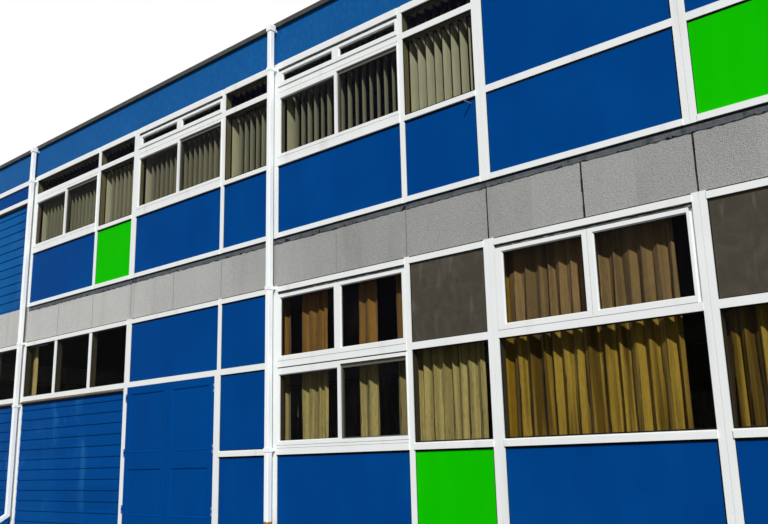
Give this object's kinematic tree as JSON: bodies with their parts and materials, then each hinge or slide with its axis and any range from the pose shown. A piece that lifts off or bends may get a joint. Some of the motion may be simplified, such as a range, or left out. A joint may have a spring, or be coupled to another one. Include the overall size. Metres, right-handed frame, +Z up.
{
  "type": "school building",
  "caption": "Flat-roofed prefabricated school block of framed panels, windows and boarding over a concrete band, with hinged double doors.",
  "frame": {"origin": "centre of the bounding box's underside, on the ground", "axes": "+X along the long front to the right as seen from outside, -Y outward from the front with the doors, +Z up"},
  "size_m": [18.356, 9.6332, 6.457],
  "materials": {
    "white_frames": "satin white paint, weathered",
    "white_pipes": "smooth white",
    "blue_infill": "satin blue",
    "green_infill": "satin green",
    "blue_fascia": "lightly textured blue",
    "blue_boards": "painted boards",
    "bare_timber": "weathered",
    "dark_coping": "dull dark grey",
    "aggregate_concrete": "exposed aggregate",
    "cast_concrete": "plain",
    "roof_felt": "mineral surface",
    "lead": "dull lead sheet",
    "clear_glass": "clear",
    "grey_glass": "obscured, dusty",
    "grey_inner_frames": "satin",
    "blue_door": "painted blue",
    "steel": "dull",
    "blind_fittings": "satin",
    "blind_cloth": "olive-beige slats",
    "curtain_cloth": "golden brown cloth"
  },
  "bodies": {
    "building": {"ground_slab": "cast_concrete", "first_floor_slab": "cast_concrete", "roof_deck": "roof_felt", "parapet_fascia": "blue_fascia", "coping": "dark_coping", "concrete_panels": "aggregate_concrete", "lead_flashing": "lead", "first_floor_posts": "white_frames", "first_floor_rails": "white_frames", "first_floor_sills": "white_frames", "ground_floor_posts": "white_frames", "ground_floor_rails": "white_frames", "ground_floor_sills": "white_frames", "first_floor_blue_panels": "blue_infill", "ground_floor_blue_panels": "blue_infill", "green_panels": "green_infill", "first_floor_boarding": "blue_boards", "ground_floor_boarding": "blue_boards", "timber_drips": "bare_timber", "fanlight_sashes": "white_frames", "top_hung_sashes": "white_frames", "sliding_frames": "white_frames", "inner_lights": "grey_inner_frames", "first_floor_glass": "clear_glass", "ground_floor_glass": "clear_glass", "sash_glass": "clear_glass", "grey_panes": "grey_glass", "door_jamb_strips": "white_frames", "frame_hinges": "steel", "downpipes": "white_pipes", "pipe_fittings": "white_pipes", "pipe_shoes": "white_pipes", "window_stay": "steel", "blind_rails": "blind_fittings", "vertical_blinds": "blind_cloth", "curtain_tracks": "blind_fittings", "curtains": "curtain_cloth"},
    "door_leaf_left": {"door_frame_left": "blue_door", "door_panels_left": "blue_door", "door_beads_left": "blue_door", "door_hinges_left": "steel"},
    "door_leaf_right": {"door_frame_right": "blue_door", "door_panels_right": "blue_door", "door_beads_right": "blue_door", "door_hinges_right": "steel"}
  },
  "joints": [
    {"name": "left_leaf_hinge", "type": "hinge", "parent": "building", "child": "door_leaf_left", "pos_m": [0.0235, -4.58, 0.478], "axis": [0, 0, -1], "range_deg": [0, 95]},
    {"name": "right_leaf_hinge", "type": "hinge", "parent": "building", "child": "door_leaf_right", "pos_m": [1.9535, -4.58, 0.478], "axis": [0, 0, 1], "range_deg": [0, 95]}
  ]
}
